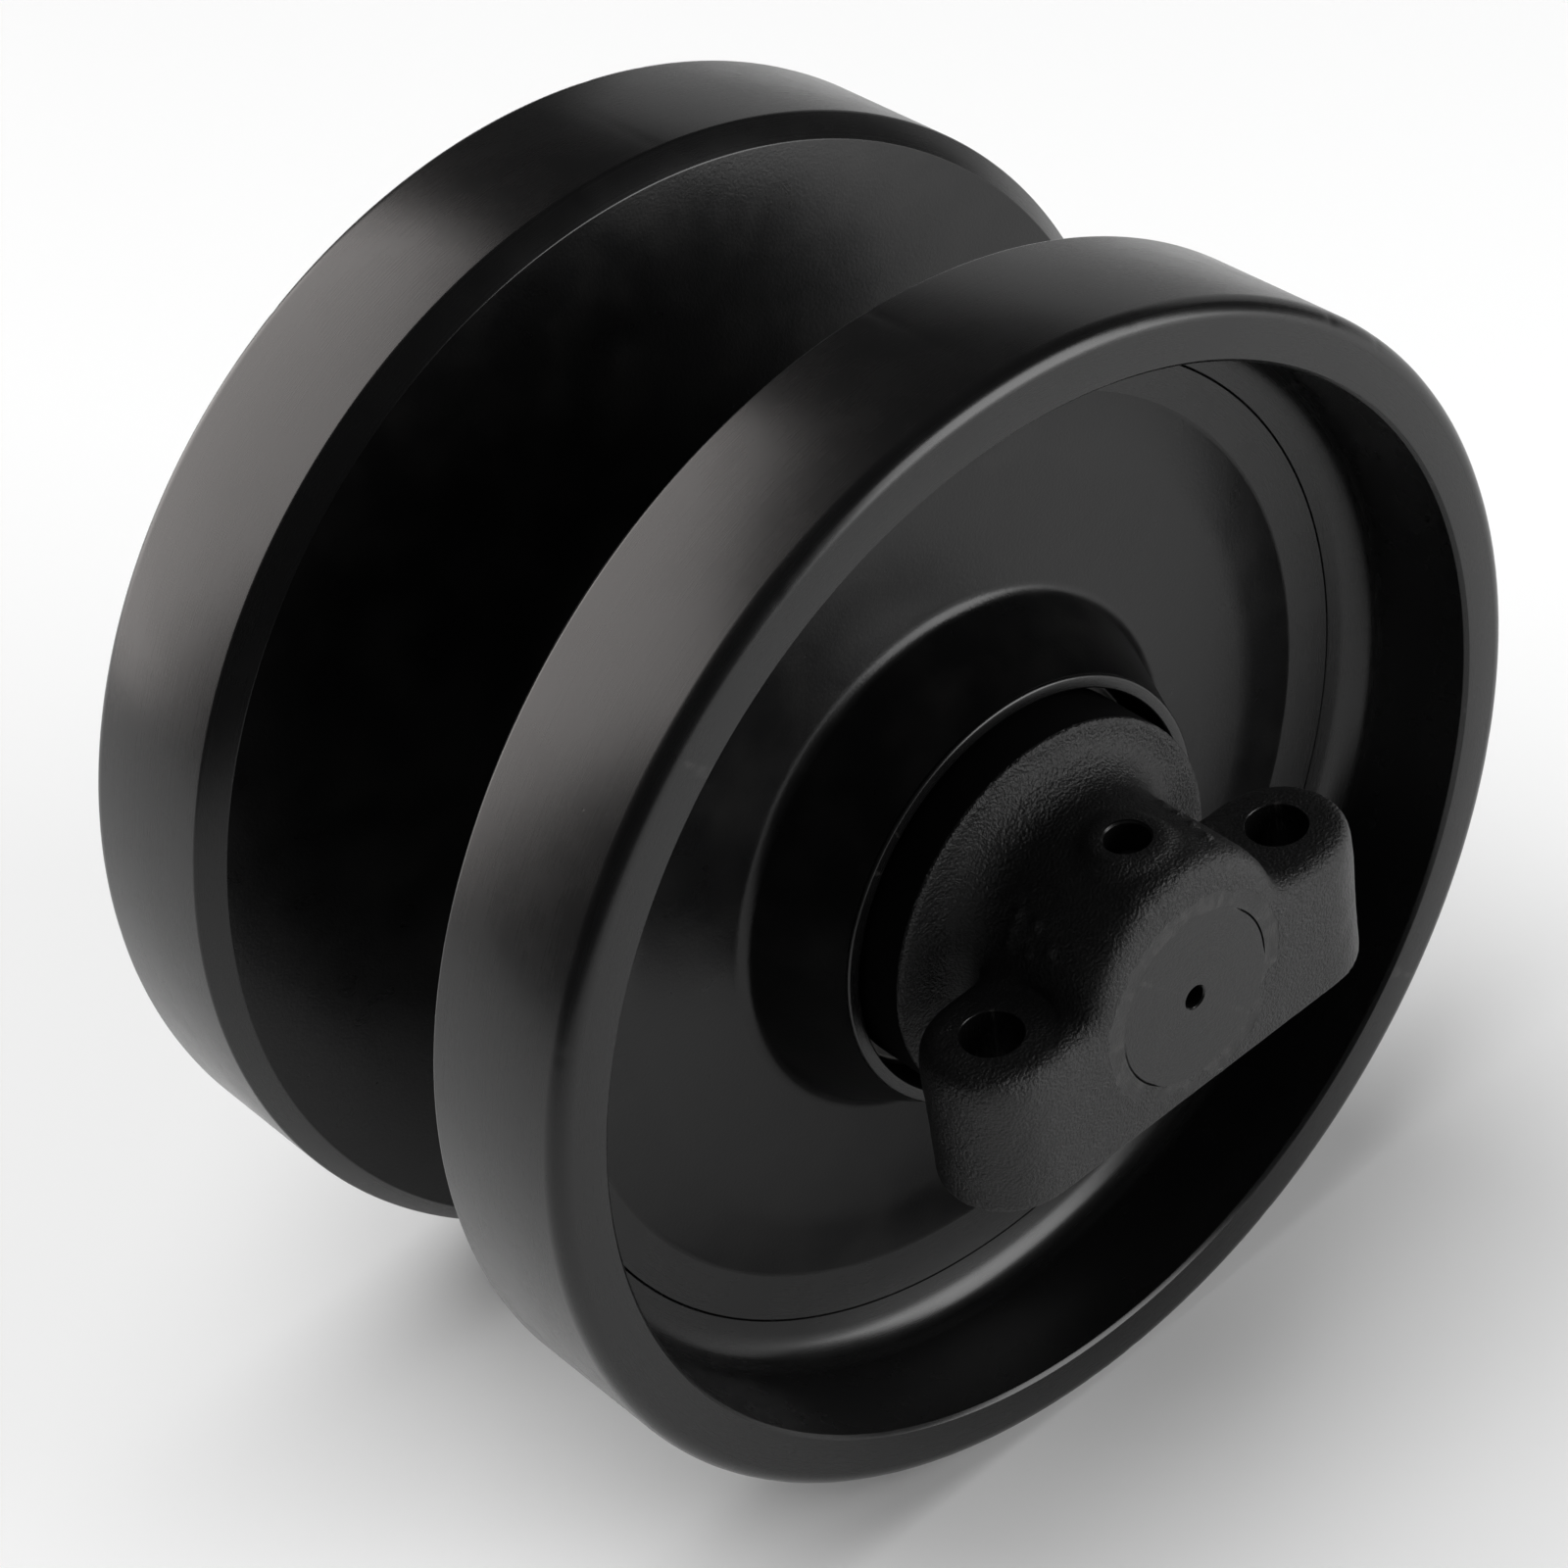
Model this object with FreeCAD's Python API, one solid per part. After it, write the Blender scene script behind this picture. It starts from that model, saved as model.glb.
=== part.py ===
import FreeCAD, Part
import math
import os

# Twin-rim track roller: a welded two-piece shell turns on a fixed shaft, in oil, between two cast end
# collars that bolt to the track frame. Millimetres. The shaft lies along Y, the middle of the roller is
# the origin, and the bolting feet of the collars face -Z. "Left" is the -Y end and "right" the +Y end.
# Each end is modelled on the +Y side, with "a" as the distance from the middle, and then mirrored.

V = FreeCAD.Vector
ORIGIN = V(0, 0, 0)
Y_AXIS = V(0, 1, 0)
Z_AXIS = V(0, 0, 1)
SIDES = {"left": -1, "right": 1}
PAST = 1.0               # how far a cutting tool runs past the face it opens
EDGE_BREAK = 0.5         # small rounding of a machined edge

# ---- driving dimensions: shell ----
TREAD_R = 178.0          # running radius of both rims
RIM_FACE_A = 104.7       # outer face of a rim
TREAD_EDGE_A = 54.0      # groove-side edge of a tread
RIM_CORNER_ROUND = 5.3   # outer corner of the rim
GROOVE_CHAMFER = 6.3     # bevel between tread and groove flank
RIM_BEVEL = 1.2          # bevel at the mouth of the dish
DISH_MOUTH_R = 162.0
DISH_WALL_R = 160.2
DISH_FILLET = 11.0
DISH_LINE_R = 148.2      # fine turned line where the web band starts
DISH_LINE_A = 61.3
DISH_LINE_WIDTH = 0.7
DISH_LINE_DEPTH = 0.8
BAND_R = 135.3           # inner edge of the conical band on the web
BAND_A = 57.7
BAND_ROUND = 3.0
WEB_R = 116.0            # the web is slightly crowned here
WEB_A = 59.6
WEB_ROUND = 60.0
BOSS_A = 86.2            # the boss is a steep cone from here down to its foot on the web
BOSS_FOOT_R = 78.1
BOSS_FOOT_A = 58.6
BOSS_FOOT_ROUND = 5.0
LIP_OUT_R = 65.3         # thin machined lip round the seal well
LIP_A = 87.4
WELL_R = 61.3            # seal well, entered by the collar's flange
WELL_A = 69.0
BARREL_R = 72.0          # hub barrel at the bottom of the centre groove
FLANK_FOOT_A = 34.0
FLANK_FILLET = 20.0
WELD_HALF_WIDTH = 5.0
WELD_CROWN = 1.8
OIL_SPACE_R = 45.0
OIL_SPACE_A = 12.0
OIL_SPACE_ROUND = 3.0
HOUSING_ROUND = 2.0      # corner where a seal housing meets its floor
LIP_ROUND = 0.9

# ---- driving dimensions: shaft and bushings ----
SHAFT_R = 26.5           # ends, inside the collars
JOURNAL_R = 28.0
JOURNAL_A = 62.0
RUNNING_GAP = 0.05
BUSHING_WALL = 5.0
BUSHING_IN_A = 16.0
BUSHING_SEAT_A = 60.0
BUSHING_FLANGE_R = 37.5
BUSHING_FLANGE = 4.0
END_FLOAT = 0.3
CENTRE_HOLE_R = 3.4
CENTRE_HOLE_DEPTH = 12.0
GALLERY_R = 4.0
FEED_HOLE_R = 3.0
PLUG_R = 9.0
PLUG_LENGTH = 12.0
PLUG_RECESS = 1.5
PLUG_SOCKET_ACROSS = 8.0
PLUG_SOCKET_DEPTH = 6.0

# ---- driving dimensions: collar ----
END_A = 152.75           # end face of collar and shaft
FOOT_Z = -33.3           # machined foot that rests on the frame
LUG_X = 53.7
LUG_A = 132.1
LUG_R = END_A - LUG_A    # the lugs are round about their bolts and meet the end face
LUG_TOP_Z = 13.9
BOLT_HOLE_R = 8.75       # M16 bolts
HUMP_R = 35.6
HUMP_Z = 8.6             # the hump is struck from above the shaft axis
FLANGE_R = 57.6
FLANGE_FRONT_A = 99.2
FLANGE_BACK_A = 75.0
SHOULDER_R = 42.5
SHOULDER_A = 114.0
SHOULDER_ROUND = 12.0    # hollow between the flange's front face and the hump
COLLAR_SLIP = 0.03
PIN_R = 6.35
PIN_PAD_R = 11.6
PIN_PAD_Z = 45.0
PIN_TOP_Z = 36.0
PIN_FOOT_Z = 10.5
PIN_SLIP = 0.05
CAST_ROUND = 2.5
VALLEY_ROUND = 6.0

# ---- driving dimensions: face seals and O-rings ----
SEAL_PLANE_A = 72.0      # where the two metal rings run face to face
SEAL_FACE_GAP = 0.02
SEAL_RING_IN_R = 39.0
SEAL_RING_OUT_R = 48.5
SEAL_RING_NECK_R = 44.4
SEAL_RING_LENGTH = 10.0
SEAL_LAND = 3.0
SEAL_LAND_TAPER = 0.6
SEAL_HOUSING_R = 51.0
SEAL_HOUSING_DRAFT = 0.8
SEAL_FLOOR_GAP = 12.0    # from the seal plane to each housing's floor
COLLAR_HUB_R = 37.0
TORIC_SECTION_R = 3.7
TORIC_R = 47.95
TORIC_OFFSET = 7.0       # from the seal plane to a toric's centre
ORING_A = 92.0
ORING_SECTION_R = 1.4
ORING_GROOVE_R = 24.0
ORING_GROOVE_WIDTH = 4.2
ORING_BITE = 0.1
ORING_GROOVE_ROUND = 0.4


# ---- helpers ----
def rounded_wire(points):
    """Closed wire in the (r, a) half plane; each point is (r, a) or (r, a, corner radius)."""
    corners = [V(p[0], p[1], 0) for p in points]
    radii = [p[2] if len(p) > 2 else 0.0 for p in points]
    edges = []
    last_end = None
    first_start = None
    for i, corner in enumerate(corners):
        to_last = (corners[i - 1] - corner).normalize()
        to_next = (corners[(i + 1) % len(corners)] - corner).normalize()
        if radii[i] > 0:
            half = to_last.getAngle(to_next) / 2
            reach = radii[i] / math.tan(half)
            start = corner + to_last * reach
            end = corner + to_next * reach
            bisector = (to_last + to_next).normalize()
            middle = corner + bisector * (radii[i] / math.sin(half) - radii[i])
        else:
            start = corner
            end = corner
        if last_end is None:
            first_start = start
        elif (start - last_end).Length > 1e-7:
            edges.append(Part.LineSegment(last_end, start).toShape())
        if radii[i] > 0:
            edges.append(Part.Arc(start, middle, end).toShape())
        last_end = end
    edges.append(Part.LineSegment(last_end, first_start).toShape())
    return Part.Wire(edges)


def turned(points):
    """Solid of revolution about the Y axis from an (r, a) outline on the +Y side."""
    return Part.Face(rounded_wire(points)).revolve(ORIGIN, Y_AXIS, 360)


def rod_y(radius, a_from, a_to, x=0.0, z=0.0):
    return Part.makeCylinder(radius, a_to - a_from, V(x, a_from, z), Y_AXIS)


def rod_z(radius, z_from, z_to, x=0.0, a=0.0):
    return Part.makeCylinder(radius, z_to - z_from, V(x, a, z_from), Z_AXIS)


def torus_y(ring_r, section_r, a):
    return Part.makeTorus(ring_r, section_r, V(0, a, 0), Y_AXIS)


def at_side(shape, sign):
    """The +Y model as it is, or its mirror image for the -Y end."""
    return shape if sign > 0 else shape.mirror(ORIGIN, Y_AXIS)


def rounded(shape, radius, picks):
    """Fillet the edges for which picks(edge midpoint, edge) is true."""
    chosen = []
    for edge in shape.Edges:
        middle = edge.valueAt(sum(edge.ParameterRange) / 2)
        if picks(middle, edge):
            chosen.append(edge)
    return shape.makeFillet(radius, chosen)


# ---- roller shell ----
def shell_half():
    outline = [
        (OIL_SPACE_R, 0), (OIL_SPACE_R, OIL_SPACE_A, OIL_SPACE_ROUND),
        (JOURNAL_R + BUSHING_WALL, BUSHING_IN_A, 2 * EDGE_BREAK),
        (JOURNAL_R + BUSHING_WALL, BUSHING_SEAT_A, EDGE_BREAK),
        (SEAL_HOUSING_R, BUSHING_SEAT_A, HOUSING_ROUND),
        (SEAL_HOUSING_R + SEAL_HOUSING_DRAFT, WELL_A, 2 * EDGE_BREAK),
        (WELL_R, WELL_A, 3 * EDGE_BREAK), (WELL_R, LIP_A, EDGE_BREAK),
        (LIP_OUT_R, LIP_A, LIP_ROUND), (LIP_OUT_R, BOSS_A, EDGE_BREAK),
        (BOSS_FOOT_R, BOSS_FOOT_A, BOSS_FOOT_ROUND),
        (WEB_R, WEB_A, WEB_ROUND), (BAND_R, BAND_A, BAND_ROUND),
        (DISH_LINE_R - DISH_LINE_WIDTH / 2, DISH_LINE_A),
        (DISH_LINE_R, DISH_LINE_A - DISH_LINE_DEPTH),
        (DISH_LINE_R + DISH_LINE_WIDTH / 2, DISH_LINE_A),
        (DISH_WALL_R, DISH_LINE_A, DISH_FILLET),
        (DISH_MOUTH_R - RIM_BEVEL, RIM_FACE_A - RIM_BEVEL, EDGE_BREAK),
        (DISH_MOUTH_R, RIM_FACE_A, EDGE_BREAK),
        (TREAD_R, RIM_FACE_A, RIM_CORNER_ROUND), (TREAD_R, TREAD_EDGE_A, 3 * EDGE_BREAK),
        (TREAD_R - GROOVE_CHAMFER, TREAD_EDGE_A - GROOVE_CHAMFER, 2 * EDGE_BREAK),
        (BARREL_R, FLANK_FOOT_A, FLANK_FILLET),
        (BARREL_R, WELD_HALF_WIDTH), (BARREL_R - WELD_HALF_WIDTH, 0),
    ]
    return turned(outline)


def weld_bead():
    root = V(BARREL_R - WELD_HALF_WIDTH, 0, 0)
    toe = V(BARREL_R, WELD_HALF_WIDTH, 0)
    far_toe = V(BARREL_R, -WELD_HALF_WIDTH, 0)
    crown = V(BARREL_R + WELD_CROWN, 0, 0)
    edges = [Part.LineSegment(root, toe), Part.Arc(toe, crown, far_toe), Part.LineSegment(far_toe, root)]
    section = Part.Face(Part.Wire([edge.toShape() for edge in edges]))
    return section.revolve(ORIGIN, Y_AXIS, 360)


# ---- shaft, bushings, plug ----
def shaft():
    step = JOURNAL_R - SHAFT_R
    groove_in = ORING_A - ORING_GROOVE_WIDTH / 2
    groove_out = ORING_A + ORING_GROOVE_WIDTH / 2
    half = [(JOURNAL_R, JOURNAL_A - step), (SHAFT_R, JOURNAL_A),
            (SHAFT_R, groove_in), (ORING_GROOVE_R, groove_in, ORING_GROOVE_ROUND),
            (ORING_GROOVE_R, groove_out, ORING_GROOVE_ROUND), (SHAFT_R, groove_out),
            (SHAFT_R, END_A, EDGE_BREAK)]
    far_half = [(p[0], -p[1]) + p[2:] for p in reversed(half)]
    body = turned([(0, END_A), (0, -END_A)] + far_half + half)
    body = body.cut(rod_y(GALLERY_R, -BUSHING_SEAT_A, END_A))
    body = body.cut(rod_y(PLUG_R, END_A - PLUG_LENGTH - PLUG_RECESS, END_A))
    for a in (-BUSHING_SEAT_A / 2, 0, BUSHING_SEAT_A / 2):
        body = body.cut(rod_z(FEED_HOLE_R, 0, JOURNAL_R + PAST, a=a))
    body = body.cut(rod_y(CENTRE_HOLE_R, -END_A, CENTRE_HOLE_DEPTH - END_A))
    for sign in SIDES.values():
        body = body.cut(rod_z(PIN_R + PIN_SLIP, PIN_FOOT_Z, SHAFT_R + PAST, a=sign * LUG_A))
    return body


def bushing():
    bore_r = JOURNAL_R + RUNNING_GAP
    out_r = JOURNAL_R + BUSHING_WALL
    flange_a = BUSHING_SEAT_A + BUSHING_FLANGE
    return turned([(bore_r, BUSHING_IN_A, EDGE_BREAK), (out_r, BUSHING_IN_A, 2 * EDGE_BREAK),
                   (out_r, BUSHING_SEAT_A), (BUSHING_FLANGE_R, BUSHING_SEAT_A),
                   (BUSHING_FLANGE_R, flange_a, EDGE_BREAK), (bore_r, flange_a, 2 * EDGE_BREAK)])


def oil_plug():
    plug_end = END_A - PLUG_RECESS
    plug = rod_y(PLUG_R, plug_end - PLUG_LENGTH, plug_end)
    plug = rounded(plug, EDGE_BREAK, lambda mid, edge: edge.Closed and edge.Curve.TypeId == "Part::GeomCircle")
    corners = []
    for i in range(7):
        turn = math.radians(60 * i)
        reach = PLUG_SOCKET_ACROSS / 2 / math.cos(math.radians(30))
        corners.append(V(reach * math.cos(turn), plug_end - PLUG_SOCKET_DEPTH, reach * math.sin(turn)))
    socket = Part.Face(Part.makePolygon(corners)).extrude(Y_AXIS * (PLUG_SOCKET_DEPTH + PAST))
    return plug.cut(socket)


# ---- face seals and O-rings ----
def seal_ring(towards):
    """Metal face-seal ring behind the seal plane; towards is +1 for the collar's ring, -1 for the shell's."""
    def at(distance):
        return SEAL_PLANE_A + towards * distance
    face = at(SEAL_FACE_GAP / 2)
    back = at(SEAL_RING_LENGTH)
    return turned([(SEAL_RING_IN_R, face, EDGE_BREAK), (SEAL_RING_OUT_R, face, EDGE_BREAK),
                   (SEAL_RING_OUT_R, at(SEAL_LAND), EDGE_BREAK),
                   (SEAL_RING_NECK_R, at(SEAL_LAND + SEAL_LAND_TAPER), 2 * EDGE_BREAK),
                   (SEAL_RING_NECK_R, back, EDGE_BREAK), (SEAL_RING_IN_R, back, EDGE_BREAK)])


def seal_toric(towards):
    return torus_y(TORIC_R, TORIC_SECTION_R, SEAL_PLANE_A + towards * TORIC_OFFSET)


def shaft_oring():
    return torus_y(ORING_GROOVE_R + ORING_SECTION_R - ORING_BITE, ORING_SECTION_R, ORING_A)


# ---- collar ----
def collar_casting():
    """Two round lugs and a foot, a hump over the shaft, and the round flange that covers the seals."""
    foot = Part.makeBox(2 * LUG_X, 2 * LUG_R, LUG_TOP_Z - FOOT_Z, V(-LUG_X, LUG_A - LUG_R, FOOT_Z))
    lugs = [rod_z(LUG_R, FOOT_Z, LUG_TOP_Z, x, LUG_A) for x in (-LUG_X, LUG_X)]
    hump = rod_y(HUMP_R, FLANGE_FRONT_A, END_A, z=HUMP_Z)
    casting = foot.fuse(lugs).removeSplitter().fuse(hump).removeSplitter()
    valley_x = math.sqrt(HUMP_R ** 2 - (LUG_TOP_Z - HUMP_Z) ** 2)
    casting = rounded(casting, VALLEY_ROUND, lambda mid, edge:
                      abs(abs(mid.x) - valley_x) < 0.1 and abs(mid.z - LUG_TOP_Z) < 0.1)
    flange = turned([(SHAFT_R, FLANGE_BACK_A), (FLANGE_R, FLANGE_BACK_A, 2 * EDGE_BREAK),
                     (FLANGE_R, FLANGE_FRONT_A, CAST_ROUND), (SHOULDER_R, FLANGE_FRONT_A, SHOULDER_ROUND),
                     (SHOULDER_R, SHOULDER_A), (SHAFT_R, SHOULDER_A)])
    casting = casting.removeSplitter().fuse(flange).removeSplitter()
    casting = rounded(casting, CAST_ROUND, lambda mid, edge:
                      abs(mid.y - END_A) < 0.1 and mid.z > LUG_TOP_Z - PAST)
    frame_seat = Part.makeBox(2 * FLANGE_R, LUG_R, FLANGE_R, V(-FLANGE_R, LUG_A - LUG_R, FOOT_Z - FLANGE_R))
    return casting.cut(frame_seat)


def seal_housing():
    """The space in the back of the collar that takes the fixed seal ring and its toric."""
    floor_a = SEAL_PLANE_A + SEAL_FLOOR_GAP
    mouth_r = SEAL_HOUSING_R + SEAL_HOUSING_DRAFT
    return turned([(COLLAR_HUB_R, FLANGE_BACK_A - PAST), (mouth_r, FLANGE_BACK_A - PAST),
                   (mouth_r, FLANGE_BACK_A), (SEAL_HOUSING_R, floor_a, HOUSING_ROUND),
                   (COLLAR_HUB_R, floor_a, HOUSING_ROUND)])


def collar():
    hub_a = BUSHING_SEAT_A + BUSHING_FLANGE + END_FLOAT
    body = collar_casting().fuse([rod_z(PIN_PAD_R, 0, PIN_PAD_Z, a=LUG_A), rod_y(COLLAR_HUB_R, hub_a, LUG_A)])
    holes = [seal_housing(), rod_y(SHAFT_R + COLLAR_SLIP, hub_a - PAST, END_A + PAST),
             rod_z(PIN_R + PIN_SLIP, PIN_FOOT_Z, PIN_PAD_Z + PAST, a=LUG_A)]
    holes += [rod_z(BOLT_HOLE_R, FOOT_Z - PAST, LUG_TOP_Z + PAST, x, LUG_A) for x in (-LUG_X, LUG_X)]
    return body.removeSplitter().cut(holes)


def lock_pin():
    pin = rod_z(PIN_R, PIN_FOOT_Z, PIN_TOP_Z, a=LUG_A)
    rims = [edge for edge in pin.Edges if edge.Curve.TypeId == "Part::GeomCircle"]
    return pin.makeChamfer(2 * EDGE_BREAK, rims)


# ---- write one STEP file for each piece ----
def main():
    os.makedirs("parts", exist_ok=True)
    pieces = {"shaft": shaft(), "shell_weld_bead": weld_bead(), "oil_fill_plug": oil_plug()}
    end_pieces = {
        "roller_shell": shell_half(), "bushing": bushing(), "collar": collar(), "lock_pin": lock_pin(),
        "shaft_oring": shaft_oring(),
        "seal_ring_turning": seal_ring(-1), "seal_ring_fixed": seal_ring(1),
        "seal_toric_turning": seal_toric(-1), "seal_toric_fixed": seal_toric(1),
    }
    for name, shape in end_pieces.items():
        for side, sign in SIDES.items():
            pieces[name + "_" + side] = at_side(shape, sign)
    for name, shape in pieces.items():
        if not shape.isValid() or len(shape.Solids) != 1:
            raise ValueError(name + " is not one valid solid")
        shape.exportStep("parts/" + name + ".step")
        print(name, round(shape.Volume), shape.BoundBox)


main()
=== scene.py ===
"""Looks of the track roller: black paint over turned rims, forged webs and sand-cast end collars.

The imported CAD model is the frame. The shell halves, their weld bead, the collars and the shaft get detailed
meshes of the same size; the other pieces keep their CAD meshes and get their own materials. Sizes are in
millimetres in the frame's axes and are turned into metres when a mesh is made. "a" is the distance from the
middle of the roller along the shaft (Y), and side is -1 at the left (-Y) end and +1 at the right (+Y) end.
"""
import math

import bmesh
import bpy
import numpy as np
from mathutils import Matrix, Vector


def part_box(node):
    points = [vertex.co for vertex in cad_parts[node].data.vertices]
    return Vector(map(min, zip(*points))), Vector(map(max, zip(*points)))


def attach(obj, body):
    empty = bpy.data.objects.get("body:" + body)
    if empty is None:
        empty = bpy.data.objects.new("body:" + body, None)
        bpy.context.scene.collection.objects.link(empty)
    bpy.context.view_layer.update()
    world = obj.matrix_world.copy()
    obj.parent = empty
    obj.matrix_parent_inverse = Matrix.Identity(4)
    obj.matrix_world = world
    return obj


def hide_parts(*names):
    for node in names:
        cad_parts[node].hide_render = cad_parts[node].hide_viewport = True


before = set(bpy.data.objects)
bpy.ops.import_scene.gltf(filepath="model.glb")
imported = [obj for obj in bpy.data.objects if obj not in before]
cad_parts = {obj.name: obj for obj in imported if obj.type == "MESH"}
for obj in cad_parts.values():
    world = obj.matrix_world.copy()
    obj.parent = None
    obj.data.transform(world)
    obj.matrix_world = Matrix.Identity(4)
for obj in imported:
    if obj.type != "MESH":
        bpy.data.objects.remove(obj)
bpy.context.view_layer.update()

MM = 0.001
SIDES = {"left": -1, "right": 1}
LOW, HIGH = 0, 1         # the two corners of a box
X, Y, Z = 0, 1, 2


def frame_size(node, corner, axis):
    """One coordinate of a CAD node's box, in millimetres."""
    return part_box(node)[corner][axis] / MM


# ---- sizes taken from the frame ----
TREAD_R = frame_size("roller_shell_right", HIGH, Z)
RIM_FACE_A = frame_size("roller_shell_right", HIGH, Y)
END_A = frame_size("collar_right", HIGH, Y)
HUB_A = frame_size("collar_right", LOW, Y)
LUG_REACH = frame_size("collar_right", HIGH, X)

# ---- sizes of the shell ----
TREAD_EDGE_A = 54.0
RIM_CORNER_ROUND = 5.3
GROOVE_CHAMFER = 6.3
RIM_BEVEL = 1.2
DISH_MOUTH_R = 162.0
DISH_WALL_R = 160.2
DISH_FILLET = 11.0
DISH_LINE_R = 148.2
DISH_LINE_A = 61.3
DISH_LINE_WIDTH = 0.7
DISH_LINE_DEPTH = 0.8
BAND_R = 135.3
BAND_A = 57.7
WEB_R = 116.0
WEB_A = 59.6
BOSS_A = 86.2
BOSS_FOOT_R = 78.1
BOSS_FOOT_A = 58.6
BOSS_FOOT_ROUND = 5.0
LIP_OUT_R = 65.3
LIP_A = 87.4
WELL_R = 61.3
WELL_A = 69.0
BARREL_R = 72.0
FLANK_FOOT_A = 34.0
FLANK_FILLET = 20.0
WELD_HALF_WIDTH = 5.0
WELD_CROWN = 1.8
OIL_SPACE_R = 45.0
OIL_SPACE_A = 12.0
BUSHING_R = 33.0
BUSHING_IN_A = 16.0
BUSHING_SEAT_A = 60.0
SEAL_HOUSING_R = 51.0
SEAL_HOUSING_DRAFT = 0.8

# ---- sizes of the shaft ----
SHAFT_R = 26.5
JOURNAL_R = 28.0
JOURNAL_A = 62.0
CENTRE_HOLE_R = 3.4
CENTRE_HOLE_DEPTH = 12.0
GALLERY_R = 4.0
PLUG_HOLE_R = 9.0
PLUG_HOLE_DEPTH = 13.5
ORING_A = 92.0
ORING_GROOVE_R = 24.0
ORING_GROOVE_WIDTH = 4.2

# ---- sizes of the collar ----
FOOT_Z = -33.3
LUG_A = 132.1
LUG_R = END_A - LUG_A
LUG_X = LUG_REACH - LUG_R
LUG_TOP_Z = 13.9
BOLT_HOLE_R = 8.75
HUMP_R = 35.6
HUMP_Z = 8.6
FLANGE_R = 57.6
FLANGE_FRONT_A = 99.2
FLANGE_BACK_A = 75.0
COLLAR_HUB_R = 37.0
COLLAR_BORE_R = SHAFT_R + 0.03
SEAL_FLOOR_A = 84.0
PIN_HOLE_R = 6.4
PIN_PAD_R = 11.6
PIN_PAD_Z = 45.0
PIN_FOOT_Z = 10.5


# ---- mesh helpers ----
SHARP_ANGLE = math.radians(32)       # an edge that turns more than this is shaded as a sharp one
AXIS_GAP = 1e-7                      # points closer to the axis than this, in metres, lie on it


def new_piece(name, points_mm, faces, materials, face_slots=None):
    """A mesh object from points in millimetres, smooth shaded except along its sharp edges."""
    mesh = bpy.data.meshes.new(name)
    mesh.from_pydata((np.asarray(points_mm) * MM).tolist(), [], faces)
    for material in materials:
        mesh.materials.append(material)
    if face_slots is not None:
        mesh.polygons.foreach_set("material_index", face_slots)
    shade(mesh)
    piece = bpy.data.objects.new(name, mesh)
    bpy.context.scene.collection.objects.link(piece)
    return piece


def shade(mesh):
    """Smooth shading that stops at sharp edges."""
    mesh.polygons.foreach_set("use_smooth", [True] * len(mesh.polygons))
    mesh.set_sharp_from_angle(angle=SHARP_ANGLE)
    mesh.update()


def rounded_outline(corners, arc_step=math.radians(15), run_step=30.0):
    """Points and stretch names of a closed outline. A corner is (r, a, corner radius, name of the stretch
    that leaves it)."""
    points = []
    names = []
    places = [np.array(corner[:2], float) for corner in corners]
    for i, (here, corner) in enumerate(zip(places, corners)):
        before = places[i - 1] - here
        after = places[(i + 1) % len(places)] - here
        before /= np.linalg.norm(before)
        after /= np.linalg.norm(after)
        arc = [here]
        if corner[2] > 0:
            half = math.acos(np.clip(before @ after, -1, 1)) / 2
            bisector = (before + after) / np.linalg.norm(before + after)
            centre = here + bisector * corner[2] / math.sin(half)
            spoke = here + before * corner[2] / math.tan(half) - centre
            sweep = math.copysign(math.pi - 2 * half, after[0] * before[1] - after[1] * before[0])
            steps = max(2, math.ceil(abs(sweep) / arc_step))
            arc = []
            for angle in np.linspace(0, sweep, steps + 1):
                cos, sin = math.cos(angle), math.sin(angle)
                turned = (cos * spoke[0] - sin * spoke[1], sin * spoke[0] + cos * spoke[1])
                arc.append(centre + np.array(turned))
        if points:
            gap = arc[0] - points[-1]
            runs = max(1, math.ceil(np.linalg.norm(gap) / run_step))
            start = points[-1]
            for j in range(1, runs):
                points.append(start + gap * j / runs)
                names.append(names[-1])
        for k, point in enumerate(arc):
            points.append(point)
            names.append(corner[3] if k == len(arc) - 1 else corners[i - 1][3])
    return np.array(points), names


def lathe(name, corners, side, segments, looks, reshape=None):
    """A solid turned about Y. Its outline runs up the inside, out, and back down the outside. looks maps a
    stretch's name to its material; reshape may move the points."""
    outline, names = rounded_outline(corners)
    materials = list(dict.fromkeys(looks.values()))
    count = len(outline)
    turn = np.linspace(0, 2 * math.pi, segments, endpoint=False)[:, None]
    radius = np.repeat(outline[None, :, 0], segments, 0)
    along = np.repeat(outline[None, :, 1], segments, 0)
    if reshape is not None:
        radius, along = reshape(turn, radius, along)
    points = np.stack([radius * np.cos(turn), along * side, radius * np.sin(turn)], -1).reshape(-1, 3)
    ring = np.arange(segments)[:, None] * count
    next_ring = np.roll(ring, -1, 0)
    here = np.arange(count)[None, :]
    following = np.roll(here, -1, 1)
    quads = np.stack([ring + here, ring + following, next_ring + following, next_ring + here], -1)
    if side > 0:
        quads = quads[..., ::-1]
    face_slots = np.tile([materials.index(looks[n]) for n in names], segments)
    piece = new_piece(name, points, quads.reshape(-1, 4).tolist(), materials, face_slots.tolist())
    if outline[:, 0].min() == 0:
        weld_axis(piece.data)
    return piece


def weld_axis(mesh):
    """Joins the points of a turned mesh that lie on the axis, so that it closes there."""
    shape = bmesh.new()
    shape.from_mesh(mesh)
    on_axis = [v for v in shape.verts if math.hypot(v.co.x, v.co.z) < AXIS_GAP]
    bmesh.ops.remove_doubles(shape, verts=on_axis, dist=AXIS_GAP)
    wires = [e for e in shape.edges if not e.link_faces]
    bmesh.ops.delete(shape, geom=wires, context="EDGES")
    loose = [v for v in shape.verts if not v.link_faces]
    bmesh.ops.delete(shape, geom=loose, context="VERTS")
    shape.to_mesh(mesh)
    shape.free()


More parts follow.
